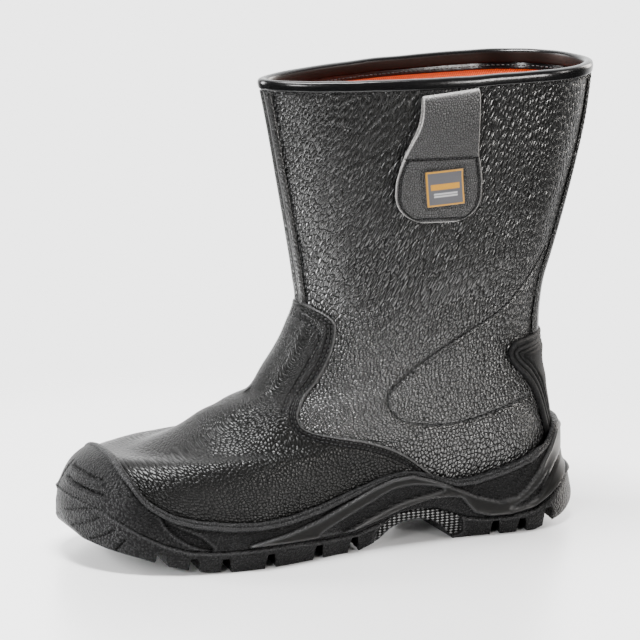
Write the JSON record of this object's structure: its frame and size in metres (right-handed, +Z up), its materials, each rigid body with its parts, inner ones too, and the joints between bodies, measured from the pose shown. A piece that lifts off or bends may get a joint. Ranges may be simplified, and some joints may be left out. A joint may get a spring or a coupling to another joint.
{
  "type": "rigger boot",
  "caption": "Pull-on leather work boot with a straight calf-high shaft, two finger loops, a raised front panel, a moulded heel guard and a lugged rubber sole with toe bumper",
  "frame": {"origin": "on the floor, at the middle of the flat heel tread", "axes": "+Z up, toe towards -X, lateral side of this left boot towards -Y"},
  "size_m": [0.3107, 0.1064, 0.265],
  "materials": {
    "shaft_leather": "heavy pebbled grain, glossy",
    "vamp_leather": "heavy pebbled grain, glossy",
    "trim_leather": "smooth, satin",
    "loop_leather": "fine grain, matte",
    "guard_rubber": "matte",
    "woven_patch": "woven, grey with a yellow border",
    "footbed_foam": "felted",
    "sole_rubber": "fine texture, with a smooth satin wave band",
    "tread_rubber": "fine texture"
  },
  "bodies": {
    "root": {"upper": "shaft_leather", "vamp": "vamp_leather", "collar_binding": "trim_leather", "front_piping": "trim_leather", "back_stay": "trim_leather", "heel_guard": "guard_rubber", "pull_loop_lateral": "loop_leather", "pull_loop_medial": "loop_leather", "label_patch": "woven_patch", "insole": "footbed_foam", "midsole": "sole_rubber", "outsole": "tread_rubber"}
  },
  "joints": []
}
